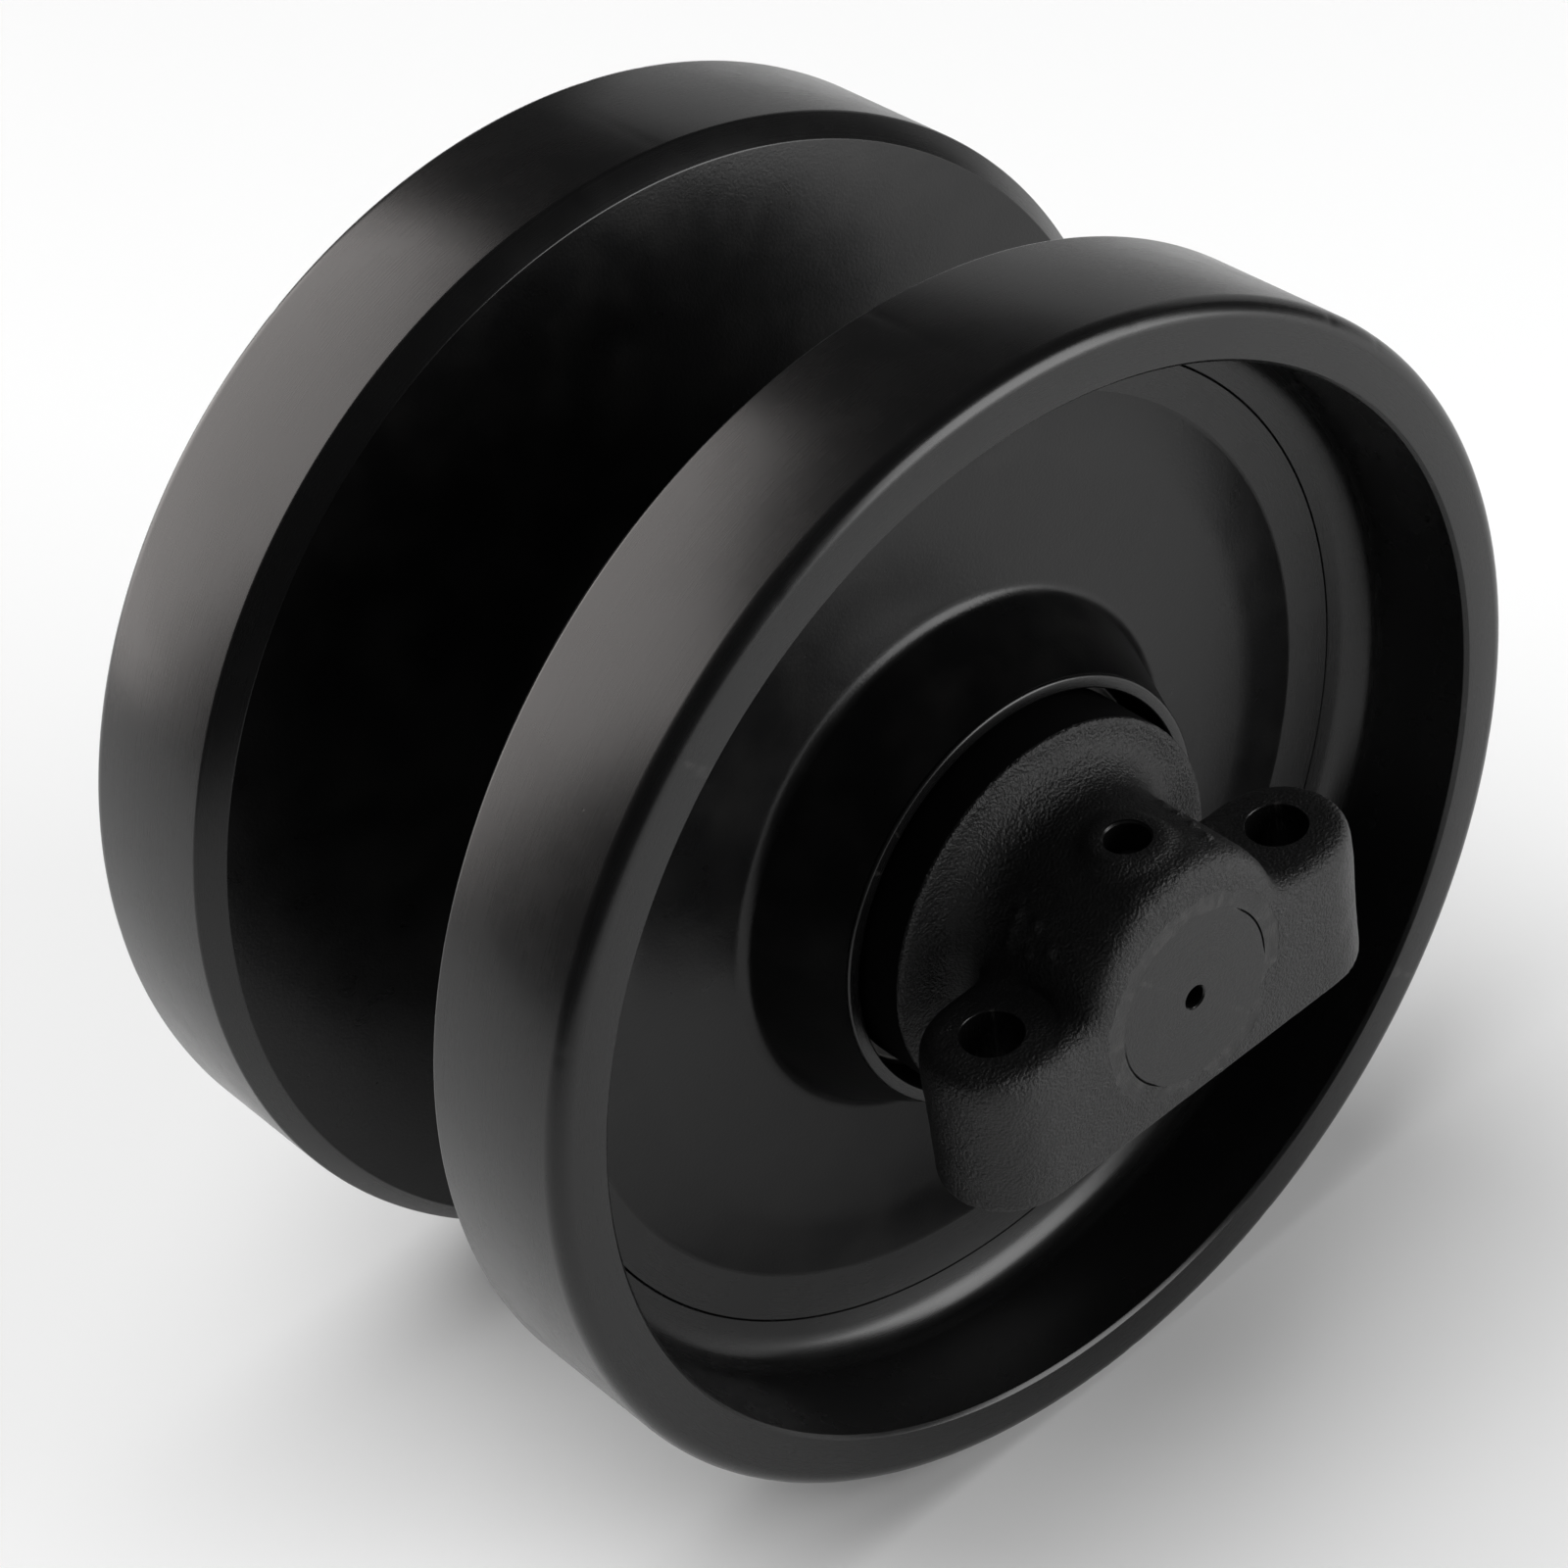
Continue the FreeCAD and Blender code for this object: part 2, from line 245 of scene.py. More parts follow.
def soft_noise(x, y, z, wavelength, seed):
    """Smooth random values from about -1 to 1 at the given points, with bumps of the given wavelength."""
    cells = 32
    grid = np.random.default_rng(seed).uniform(-1, 1, (cells, cells, cells))
    weights = []
    corners = []
    for value in (x, y, z):
        scaled = value / wavelength + cells
        low = np.floor(scaled).astype(int)
        part = scaled - low
        part = part * part * (3 - 2 * part)
        weights.append((1 - part, part))
        corners.append((low % cells, (low + 1) % cells))
    total = 0.0
    for i in (0, 1):
        for j in (0, 1):
            for k in (0, 1):
                total = total + grid[corners[0][i], corners[1][j], corners[2][k]] * (
                    weights[0][i] * weights[1][j] * weights[2][k])
    return total


def surface_net(field, low, pitch):
    """Points and quads of the zero level of a field sampled on a grid; the inside is negative."""
    inside = field < 0
    corners = [(i, j, k) for i in (0, 1) for j in (0, 1) for k in (0, 1)]
    size = np.array(field.shape) - 1
    count = np.zeros(size, np.int8)
    for i, j, k in corners:
        count += inside[i:size[0] + i, j:size[1] + j, k:size[2] + k]
    cells = np.argwhere((count > 0) & (count < 8))
    number = np.full(size, -1)
    number[tuple(cells.T)] = np.arange(len(cells))
    values = {corner: field[tuple((cells + corner).T)] for corner in corners}
    total = np.zeros((len(cells), 3))
    hits = np.zeros(len(cells))
    quads = []
    for axis in range(3):
        unit = np.eye(3, dtype=int)[axis]
        for corner in corners:
            if corner[axis] == 0:
                start = values[corner]
                end = values[tuple(np.array(corner) + unit)]
                crossed = (start < 0) != (end < 0)
                share = start[crossed] / (start[crossed] - end[crossed])
                total[crossed] += np.array(corner) + share[:, None] * unit
                hits += crossed
        starts = inside.take(range(size[axis]), axis)
        ends = inside.take(range(1, size[axis] + 1), axis)
        for rising in (True, False):
            edges = np.argwhere(starts & ~ends if rising else ends & ~starts)
            second = np.eye(3, dtype=int)[(axis + 1) % 3]
            third = np.eye(3, dtype=int)[(axis + 2) % 3]
            around = [edges, edges - second, edges - second - third, edges - third]
            loop = np.stack([number[tuple(cell.T)] for cell in around], -1)
            quads.append(loop if rising else loop[:, ::-1])
    return np.array(low) + (cells + total / hits[:, None]) * pitch, np.concatenate(quads)


def blurred(field, sigma):
    """The field after a Gaussian blur; sigma is in grid steps. A flat face stays where it is."""
    reach = math.ceil(3 * sigma)
    weights = np.exp(-0.5 * (np.arange(-reach, reach + 1) / sigma) ** 2)
    weights /= weights.sum()
    for axis in range(3):
        padding = [(reach, reach) if k == axis else (0, 0) for k in range(3)]
        padded = np.pad(field, padding, mode="reflect", reflect_type="odd")
        length = field.shape[axis]
        field = sum(w * padded.take(range(k, k + length), axis) for k, w in enumerate(weights))
    return field


def round_max(first, second, radius):
    """What two fields have in common, with its edges rounded."""
    outside = np.hypot(np.maximum(first + radius, 0), np.maximum(second + radius, 0))
    return np.minimum(np.maximum(first, second), -radius) + outside


def round_min(first, second, radius):
    """Two fields joined, with a fillet between them."""
    inside = np.hypot(np.maximum(radius - first, 0), np.maximum(radius - second, 0))
    return np.maximum(np.minimum(first, second), radius) - inside


def cut(piece, cutters):
    """Takes the cutters out of a piece and deletes them."""
    for cutter in cutters:
        modifier = piece.modifiers.new(cutter.name, "BOOLEAN")
        modifier.operation = "DIFFERENCE"
        modifier.solver = "MANIFOLD"
        modifier.material_mode = "TRANSFER"
        modifier.object = cutter
    bpy.context.view_layer.update()
    result = bpy.data.meshes.new_from_object(piece.evaluated_get(bpy.context.evaluated_depsgraph_get()))
    piece.modifiers.clear()
    piece.data = result
    result.name = piece.name
    for cutter in cutters:
        bpy.data.objects.remove(cutter)
    shade(result)


# ---- materials ----
PAINT_IOR = 1.42
FORGED_IOR = 1.36       # the same paint on the rougher forged skin
DULL_IOR = 1.12         # paint dulled by oil and dust, deep in the seal well


FINE_MARKS = 0.45       # spacing of the marks that a turning tool leaves
WIDE_MARKS = 2.6


class Finish:
    """One procedural material. Its patterns are laid out in millimetres, in the frame's axes."""

    def __init__(self, name, metallic=0.0, ior=PAINT_IOR):
        self.material = bpy.data.materials.new(name)
        self.material.use_nodes = True
        self.tree = self.material.node_tree
        self.shader = self.tree.nodes["Principled BSDF"]
        self.shader.inputs["Metallic"].default_value = metallic
        self.shader.inputs["IOR"].default_value = ior
        coordinates = self.tree.nodes.new("ShaderNodeTexCoord")
        to_mm = self.tree.nodes.new("ShaderNodeVectorMath")
        to_mm.operation = "SCALE"
        to_mm.inputs["Scale"].default_value = 1 / MM
        self.tree.links.new(coordinates.outputs["Object"], to_mm.inputs[0])
        self.place = to_mm.outputs[0]
        split = self.tree.nodes.new("ShaderNodeSeparateXYZ")
        self.tree.links.new(self.place, split.inputs[0])
        self.x, self.y, self.z = split.outputs
        self.heights = []

    def feed(self, socket, value):
        """Sets a socket to a number or links it to another node's output."""
        if isinstance(value, (int, float)):
            socket.default_value = value
        else:
            self.tree.links.new(value, socket)

    def combine(self, operation, first, second=0.0, clamp=False):
        """One maths node on two values."""
        node = self.tree.nodes.new("ShaderNodeMath")
        node.operation = operation
        node.use_clamp = clamp
        self.feed(node.inputs[0], first)
        self.feed(node.inputs[1], second)
        return node.outputs[0]

    def blend(self, first, second, share):
        """The first pattern, with the given share of the second in it."""
        main = self.combine("MULTIPLY", first, 1 - share)
        return self.combine("ADD", main, self.combine("MULTIPLY", second, share))

    def radius(self):
        """Distance from the shaft's axis."""
        x_squared = self.combine("MULTIPLY", self.x, self.x)
        z_squared = self.combine("MULTIPLY", self.z, self.z)
        return self.combine("SQRT", self.combine("ADD", x_squared, z_squared))

    def noise(self, size, detail=2.0):
        """Noise from 0 to 1 with bumps of the given size."""
        node = self.tree.nodes.new("ShaderNodeTexNoise")
        self.tree.links.new(self.place, node.inputs["Vector"])
        node.inputs["Scale"].default_value = 1 / size
        node.inputs["Detail"].default_value = detail
        return node.outputs[0]

    def lines(self, distance, pitch, detail=2.0):
        """Tool marks from 0 to 1: noise that changes only with the given distance."""
        node = self.tree.nodes.new("ShaderNodeTexNoise")
        node.noise_dimensions = "1D"
        self.tree.links.new(distance, node.inputs["W"])
        node.inputs["Scale"].default_value = 1 / pitch
        node.inputs["Detail"].default_value = detail
        return node.outputs[0]

    def spots(self, spacing, share, size):
        """Round spots, 1 in the middle and 0 outside, in the given share of the cells."""
        node = self.tree.nodes.new("ShaderNodeTexVoronoi")
        self.tree.links.new(self.place, node.inputs["Vector"])
        node.inputs["Scale"].default_value = 1 / spacing
        split = self.tree.nodes.new("ShaderNodeSeparateColor")
        self.tree.links.new(node.outputs["Color"], split.inputs[0])
        chosen = self.combine("LESS_THAN", split.outputs[0], share)
        distance = self.combine("MULTIPLY", node.outputs["Distance"], spacing / size)
        return self.combine("MULTIPLY", self.combine("SUBTRACT", 1.0, distance, clamp=True), chosen)

    def ramp(self, value, low, high):
        """0 where the value is at low or less, 1 at high or more."""
        node = self.tree.nodes.new("ShaderNodeMapRange")
        self.tree.links.new(value, node.inputs["Value"])
        node.inputs["From Min"].default_value = low
        node.inputs["From Max"].default_value = high
        return node.outputs[0]

    def worn_edges(self, low, high):
        """1 along outer edges that handling has rubbed."""
        geometry = self.tree.nodes.new("ShaderNodeNewGeometry")
        edge = self.ramp(geometry.outputs["Pointiness"], low, high)
        return self.combine("MULTIPLY", edge, self.ramp(self.noise(4.0), 0.4, 0.6))

    def colour(self, first, second, share):
        """Base colour that goes from the first to the second colour with the share."""
        node = self.tree.nodes.new("ShaderNodeMix")
        node.data_type = "RGBA"
        sockets = {socket.identifier: socket for socket in node.inputs}
        sockets["A_Color"].default_value = (*first, 1)
        sockets["B_Color"].default_value = (*second, 1)
        self.tree.links.new(share, sockets["Factor_Float"])
        results = {socket.identifier: socket for socket in node.outputs}
        self.tree.links.new(results["Result_Color"], self.shader.inputs["Base Color"])

    def roughness(self, low, high, share):
        """Roughness that goes from low to high with the share."""
        node = self.tree.nodes.new("ShaderNodeMapRange")
        self.tree.links.new(share, node.inputs["Value"])
        node.inputs["To Min"].default_value = low
        node.inputs["To Max"].default_value = high
        self.tree.links.new(node.outputs[0], self.shader.inputs["Roughness"])

    def relief(self, pattern, height):
        """Adds a pattern to the bump; height in millimetres."""
        self.heights.append(self.combine("MULTIPLY", pattern, height))

    def done(self):
        """The finished material, with all its relief as one bump."""
        total = self.heights[0]
        for height in self.heights[1:]:
            total = self.combine("ADD", total, height)
        bump = self.tree.nodes.new("ShaderNodeBump")
        bump.inputs["Distance"].default_value = MM
        self.tree.links.new(total, bump.inputs["Height"])
        self.tree.links.new(bump.outputs["Normal"], self.shader.inputs["Normal"])
        return self.material


PAINT_BLACK = (0.0020, 0.0020, 0.0021)
PAINT_DUSTY = (0.0060, 0.0058, 0.0056)
PAINT_RUBBED = (0.0160, 0.0155, 0.0150)


def turned_paint(name, across, line_height, grain_height=0.0012, ior=PAINT_IOR, smoothest=0.20):
    """Black paint over lathe marks; across is "along" for a tread or "radius" for a face."""
    finish = Finish(name, ior=ior)
    distance = finish.y if across == "along" else finish.radius()
    marks = finish.lines(distance, FINE_MARKS, 3.0)
    cloud = finish.noise(14.0, 3.0)
    pits = finish.spots(7.0, 0.06, 0.4)
    finish.relief(marks, line_height)
    finish.relief(finish.lines(distance, WIDE_MARKS), line_height * 1.5)
    finish.relief(finish.noise(5.0), 0.006)
    finish.relief(finish.noise(0.7), grain_height)
    finish.relief(pits, -0.04)
    wear = finish.combine("MAXIMUM", finish.worn_edges(0.54, 0.60), pits)
    dust = finish.combine("MULTIPLY", cloud, 0.08)
    finish.colour(PAINT_BLACK, PAINT_RUBBED, finish.combine("MAXIMUM", dust, wear))
    finish.roughness(smoothest, smoothest + 0.14, finish.blend(cloud, marks, 0.4))
    return finish.done()


def forged_paint():
    """Black paint over a forged skin, with shallow waves and scale pits."""
    finish = Finish("forged_paint", ior=FORGED_IOR)
    cloud = finish.noise(18.0, 3.0)
    pits = finish.spots(5.0, 0.07, 0.45)
    finish.relief(finish.noise(7.0), 0.030)
    finish.relief(finish.noise(0.9, 3.0), 0.050)
    finish.relief(pits, -0.05)
    finish.colour(PAINT_BLACK, PAINT_DUSTY, finish.ramp(cloud, 0.45, 0.85))
    finish.roughness(0.22, 0.38, cloud)
    return finish.done()


def cast_paint():
    """Black paint over a sand-cast skin: fine grain and small pits."""
    finish = Finish("cast_paint")
    grain = finish.noise(0.85, 4.0)
    cloud = finish.noise(9.0, 2.0)
    pits = finish.spots(2.6, 0.20, 0.45)
    finish.relief(grain, 0.75)
    finish.relief(finish.noise(2.4), 0.20)
    finish.relief(pits, -0.10)
    wear = finish.worn_edges(0.53, 0.60)
    dust = finish.combine("MULTIPLY", cloud, 0.15)
    finish.colour(PAINT_BLACK, PAINT_RUBBED, finish.combine("MAXIMUM", dust, wear))
    finish.roughness(0.36, 0.52, finish.blend(grain, cloud, 0.5))
    return finish.done()


def bare_metal(name, dark, light, roughness, grain_size, grain_height, metallic=1.0):
    """Metal or rubber with no paint: clouded colour, fine grain and turning marks."""
    finish = Finish(name, metallic)
    cloud = finish.noise(grain_size * 12, 3.0)
    finish.relief(finish.noise(grain_size), grain_height)
    finish.relief(finish.lines(finish.radius(), 0.3), grain_height)
    finish.relief(finish.lines(finish.y, 0.3), grain_height)
    finish.colour(dark, light, cloud)
    finish.roughness(roughness - 0.06, roughness + 0.10, cloud)
    return finish.done()


def bore_steel():
    return bare_metal("bore_steel", (0.10, 0.10, 0.10), (0.18, 0.175, 0.17), 0.34, 0.5, 0.003)


def ground_steel():
    return bare_metal("ground_steel", (0.32, 0.32, 0.32), (0.45, 0.445, 0.44), 0.22, 0.4, 0.001)


def weld_paint():
    """Black paint over a weld bead, duller beside the ripples."""
    finish = Finish("weld_paint")
    cloud = finish.noise(4.0, 3.0)
    finish.relief(finish.noise(0.7, 3.0), 0.03)
    finish.relief(finish.spots(3.0, 0.2, 0.5), 0.08)
    finish.colour(PAINT_BLACK, PAINT_DUSTY, cloud)
    finish.roughness(0.30, 0.50, cloud)
    return finish.done()


def dress_cad_nodes():
    """Finishes for the CAD pieces that keep their own meshes."""
    bronze = bare_metal("bushing_bronze", (0.35, 0.20, 0.09), (0.50, 0.31, 0.14), 0.36, 0.3, 0.004)
    pin = turned_paint("pin_paint", "radius", 0.004)
    plug = turned_paint("plug_paint", "radius", 0.004)
    iron = bare_metal("seal_iron", (0.20, 0.20, 0.21), (0.30, 0.30, 0.31), 0.22, 0.4, 0.001)
    rubber = bare_metal("seal_rubber", (0.016, 0.016, 0.016), (0.030, 0.030, 0.029), 0.62, 0.3, 0.006,
                        metallic=0.0)
    looks = {"bushing": bronze, "lock_pin": pin, "oil_fill_plug": plug, "seal_ring": iron,
             "seal_toric": rubber, "shaft_oring": rubber}
    for node_name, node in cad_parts.items():
        for start, look in looks.items():
            if node_name.startswith(start):
                node.data.materials.clear()
                node.data.materials.append(look)


# ---- roller shell ----
SHELL_SEGMENTS = 780
SKIN_WAVE_LENGTH = 25.0
SKIN_WAVE_HEIGHT = 0.08
RIM_NICKS = 16
INNER_NICKS = 0.35       # share of the nicks that are on the groove side
NICK_LENGTHS = (0.8, 2.5)
NICK_DEPTHS = (0.06, 0.22)
NICK_WIDTH = 1.6
NICK_BACK = 1.5          # how far the nicks of the outer corner lie behind the rim's face
NICK_REACH = 4.0         # how far below the tread a nick still moves points


def shell_corners():
    """The outline of a shell half: bore, well, lip, boss, web, band, dish, rim, tread, flank and barrel."""
    housing_mouth_r = SEAL_HOUSING_R + SEAL_HOUSING_DRAFT
    band_slope = (DISH_LINE_A - BAND_A) / (DISH_LINE_R - BAND_R)
    band_end_a = DISH_LINE_A + band_slope * (DISH_WALL_R - DISH_LINE_R)
    return [
        (OIL_SPACE_R, 0, 0, "bore"), (OIL_SPACE_R, OIL_SPACE_A, 3.0, "bore"),
        (BUSHING_R, BUSHING_IN_A, 1.0, "bore"), (BUSHING_R, BUSHING_SEAT_A, 0.5, "bore"),
        (SEAL_HOUSING_R, BUSHING_SEAT_A, 2.0, "bore"), (housing_mouth_r, WELL_A, 1.0, "bore"),
        (WELL_R, WELL_A, 1.5, "well"), (WELL_R, LIP_A, 0.5, "turned_face"),
        (LIP_OUT_R, LIP_A, 0.9, "turned_face"), (LIP_OUT_R, BOSS_A, 0.5, "forged"),
        (BOSS_FOOT_R, BOSS_FOOT_A, BOSS_FOOT_ROUND, "forged"),
        (WEB_R, WEB_A, 60.0, "forged"), (BAND_R, BAND_A, 3.0, "turned_face"),
        (DISH_LINE_R - DISH_LINE_WIDTH / 2, DISH_LINE_A, 0, "turned_face"),
        (DISH_LINE_R, DISH_LINE_A - DISH_LINE_DEPTH, 0, "turned_face"),
        (DISH_LINE_R + DISH_LINE_WIDTH / 2, DISH_LINE_A, 0, "turned_face"),
        (DISH_WALL_R, band_end_a, DISH_FILLET, "turned_face"),
        (DISH_MOUTH_R - RIM_BEVEL, RIM_FACE_A - RIM_BEVEL, 0.8, "turned_face"),
        (DISH_MOUTH_R, RIM_FACE_A, 0.4, "turned_face"),
        (TREAD_R, RIM_FACE_A, RIM_CORNER_ROUND, "tread"), (TREAD_R, TREAD_EDGE_A, 1.5, "turned_face"),
        (TREAD_R - GROOVE_CHAMFER, TREAD_EDGE_A - GROOVE_CHAMFER, 0.8, "forged"),
        (BARREL_R, FLANK_FOOT_A, FLANK_FILLET, "forged"),
        (BARREL_R, WELD_HALF_WIDTH, 0, "forged"), (BARREL_R - WELD_HALF_WIDTH, 0, 0, "bore"),
    ]


def handled(seed):
    """Moves a shell's points as forging and handling do: shallow waves on the skin and nicks on the rim."""
    rng = np.random.default_rng(seed)
    nicks = []
    for _ in range(RIM_NICKS):
        inner = rng.random() < INNER_NICKS
        nicks.append((rng.uniform(0, 2 * math.pi), rng.uniform(*NICK_LENGTHS), rng.uniform(*NICK_DEPTHS),
                      TREAD_EDGE_A if inner else RIM_FACE_A - NICK_BACK))

    def reshape(turn, radius, along):
        x = radius * np.cos(turn)
        z = radius * np.sin(turn)
        flank = (radius < TREAD_R - GROOVE_CHAMFER - 1) & (radius > BARREL_R) & (along < TREAD_EDGE_A)
        web = (radius > LIP_OUT_R + 1) & (radius < BAND_R - 3) & (along > TREAD_EDGE_A)
        wave = soft_noise(x, along, z, SKIN_WAVE_LENGTH, seed) * SKIN_WAVE_HEIGHT
        along = along + wave * (flank | web)
        for angle, length, depth, place in nicks:
            away = (turn - angle + math.pi) % (2 * math.pi) - math.pi
            dent = depth * np.exp(-(away * TREAD_R / length) ** 2 - ((along - place) / NICK_WIDTH) ** 2)
            radius = radius - dent * (radius > TREAD_R - NICK_REACH)
        return radius, along
    return reshape


def make_shells(bore):
    """Both shell halves; bore is the material of their machined inside."""
    looks = {"bore": bore, "turned_face": turned_paint("face_paint", "radius", 0.004),
             "forged": forged_paint(), "tread": turned_paint("tread_paint", "along", 0.003),
             "well": turned_paint("well_paint", "along", 0.001, ior=DULL_IOR, smoothest=0.5)}
    for side_name, side in SIDES.items():
        shell = lathe("shell_" + side_name, shell_corners(), side, SHELL_SEGMENTS, looks, handled(11 + side))
        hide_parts("roller_shell_" + side_name)
        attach(shell, "wheel")


# ---- weld bead between the shell halves ----
WELD_SEGMENTS = 840
RIPPLE_PITCH = 3.4
RIPPLE_HEIGHT = 0.45
RIPPLE_LAG = 0.09        # how far a ripple's ends trail its middle, per millimetre squared
RIPPLE_WANDER_R = 60.0   # the ripples' unevenness is read on a circle of this radius
BEAD_POINTS = 19


def rippled(turn, radius, along):
    """Overlapping ripples along the bead, as a rotating weld leaves them."""
    on_top = np.clip((radius - BARREL_R) / WELD_CROWN, 0, 1)
    wander = soft_noise(RIPPLE_WANDER_R * np.cos(turn), along, RIPPLE_WANDER_R * np.sin(turn), 9.0, 31)
    phase = (turn * BARREL_R + RIPPLE_LAG * along ** 2 + wander * 0.7) / RIPPLE_PITCH
    crest = (phase % 1.0) ** 0.6
    lower = RIPPLE_HEIGHT * (1 - crest) + 0.15 * (1 + wander)
    return radius - lower * on_top, along + wander * 0.3


def make_weld():
    corners = [(BARREL_R - WELD_HALF_WIDTH, 0, 0, "bead")]
    for share in np.linspace(1, -1, BEAD_POINTS):
        corners.append((BARREL_R + WELD_CROWN * (1 - share ** 2), share * WELD_HALF_WIDTH, 0, "bead"))
    bead = lathe("weld_bead", corners, 1, WELD_SEGMENTS, {"bead": weld_paint()}, rippled)
    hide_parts("shell_weld_bead")
    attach(bead, "wheel")


# ---- shaft ----
SHAFT_SEGMENTS = 360
END_FACE_A = END_A - 0.45            # the shaft's ends and the collars' facings are turned to here
SEAM_DEPTH = 0.7
SEAM_ARCS = ((23, 30), (205, 31))    # middle and half width of each arc, in degrees
SEAM_FADE = math.radians(12)
RIM_RING = 0.6           # a ring of points this far inside the end's rim keeps the bevel narrow
PLUG_CHAMFER = 0.8


def shaft_corners():
    """The shaft's outline: up the oil gallery, out over the right end, back along the outside, and over the
    left end."""
    step = JOURNAL_R - SHAFT_R
    groove_in = ORING_A - ORING_GROOVE_WIDTH / 2
    groove_out = ORING_A + ORING_GROOVE_WIDTH / 2
    half = [(SHAFT_R, END_FACE_A, 0, "ground"), (SHAFT_R, groove_out, 0, "ground"),
            (ORING_GROOVE_R, groove_out, 0.4, "ground"), (ORING_GROOVE_R, groove_in, 0.4, "ground"),
            (SHAFT_R, groove_in, 0, "ground"), (SHAFT_R, JOURNAL_A, 0, "ground"),
            (JOURNAL_R, JOURNAL_A - step, 0, "ground")]
    other_half = [(r, -a, rounding, look) for r, a, rounding, look in reversed(half)]
    seat_a = END_A - PLUG_HOLE_DEPTH
    hole_end = CENTRE_HOLE_DEPTH - END_A
    guard_r = SHAFT_R - RIM_RING - 0.2
    gallery = [(0, -BUSHING_SEAT_A, 0, "ground"), (GALLERY_R, -BUSHING_SEAT_A, 0, "ground"),
               (GALLERY_R, seat_a, 0, "ground"), (PLUG_HOLE_R, seat_a, 0, "ground")]
    right_end = [(PLUG_HOLE_R, END_FACE_A - PLUG_CHAMFER, 0, "end"),
                 (PLUG_HOLE_R + PLUG_CHAMFER, END_FACE_A, 0, "end"),
                 (guard_r, END_FACE_A, 0, "end"), (SHAFT_R - RIM_RING, END_FACE_A, 0, "end")]
    left_end = [(SHAFT_R, -END_FACE_A, 0, "end"), (SHAFT_R - RIM_RING, -END_FACE_A, 0, "end"),
                (guard_r, -END_FACE_A, 0, "end"), (CENTRE_HOLE_R + 0.4, -END_FACE_A, 0, "end"),
                (CENTRE_HOLE_R, 0.5 - END_FACE_A, 0, "end"), (CENTRE_HOLE_R, hole_end, 0, "end"),
                (0, hole_end + 2, 0, "ground")]
    return gallery + right_end + half + other_half[:-1] + left_end


def seamed(turn, radius, along):
    """Bevels the shaft's end rims where a seam shows round them."""
    open_seam = 0.0
    for middle, half_width in np.radians(SEAM_ARCS):
        away = np.abs((turn - middle + math.pi) % (2 * math.pi) - math.pi)
        open_seam = open_seam + np.clip((half_width - away) / SEAM_FADE, 0, 1)
    rim = (radius > SHAFT_R - 0.1) & (np.abs(along) > END_FACE_A - 0.1)
    return radius, along - np.sign(along) * SEAM_DEPTH * open_seam * rim


def make_shaft():
    ground = ground_steel()
    looks = {"ground": ground, "end": turned_paint("end_paint", "radius", 0.001, grain_height=0.08)}
    shaft = lathe("shaft_turned", shaft_corners(), 1, SHAFT_SEGMENTS, looks, seamed)
    pin_holes = [drill("pin_hole_cutter", PIN_HOLE_R, PIN_FOOT_Z, SHAFT_R, 0, ground, 0, side * LUG_A)
                 for side in SIDES.values()]
    cut(shaft, pin_holes)
    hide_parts("shaft")
    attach(shaft, "axle")


# ---- collar ----
GRID_PITCH = 0.9
CAST_BLUR = 3.6
FLANGE_EDGE_ROUND = 1.2
FOOT_EDGE_ROUND = 1.2
HUMP_FILLET = 13.0       # hollow between the flange's front face and the hump
FOOT_FILLET = 3.0        # the same, beside the foot
SPOT_FACE_R = 18.2
SPOT_FACE_Z = LUG_TOP_Z - 0.2
FACING_R = 32.0
HOLE_CHAMFER = 0.5
CUTTER_PAST = 3.0        # how far a cutter runs past the face it opens
BODY_LAP = 6.0           # how far the hump runs on into the flange
FOOT_ALLOWANCE = 12.0    # the lugs run on this far below the foot, which is cut flat last
PIN_PAD_ROUND = 3.0
PIN_PAD_FILLET = 3.5
SPOT_FACE_ROUND = 1.5
SPOT_FACE_RIM_ROUND = 1.0
PIP_R = 1.8
PIP_FILLET = 0.9
LUMPS = ((5.0, 5, 0.11), (2.2, 6, 0.07))     # the cast skin's lumps: wavelength, seed and height
CAST_SHRINK = 0.12       # the skin lies this far inside the CAD faces, so its lumps stay in their box
FACING_RUN_OUT = 0.33    # towards the foot the facing tool hardly touched the casting
DRILL_SEGMENTS = 96
BORING_SEGMENTS = 240


def collar_pips():
    """Round pips cast on the hump, in place of foundry marks: angle about the hump's axis and distance a."""
    left = [(143, 118), (150, 118), (157, 118), (143, 125), (157, 125), (150, 132)]
    right = [(58, 142), (55, 135), (52, 128), (49, 121)]
    pips = []
    for angle, a in left + right:
        turn = math.radians(angle)
        reach = HUMP_R - PIP_R * 0.45
        pips.append((reach * math.cos(turn), a, HUMP_Z + reach * math.sin(turn)))
    return pips


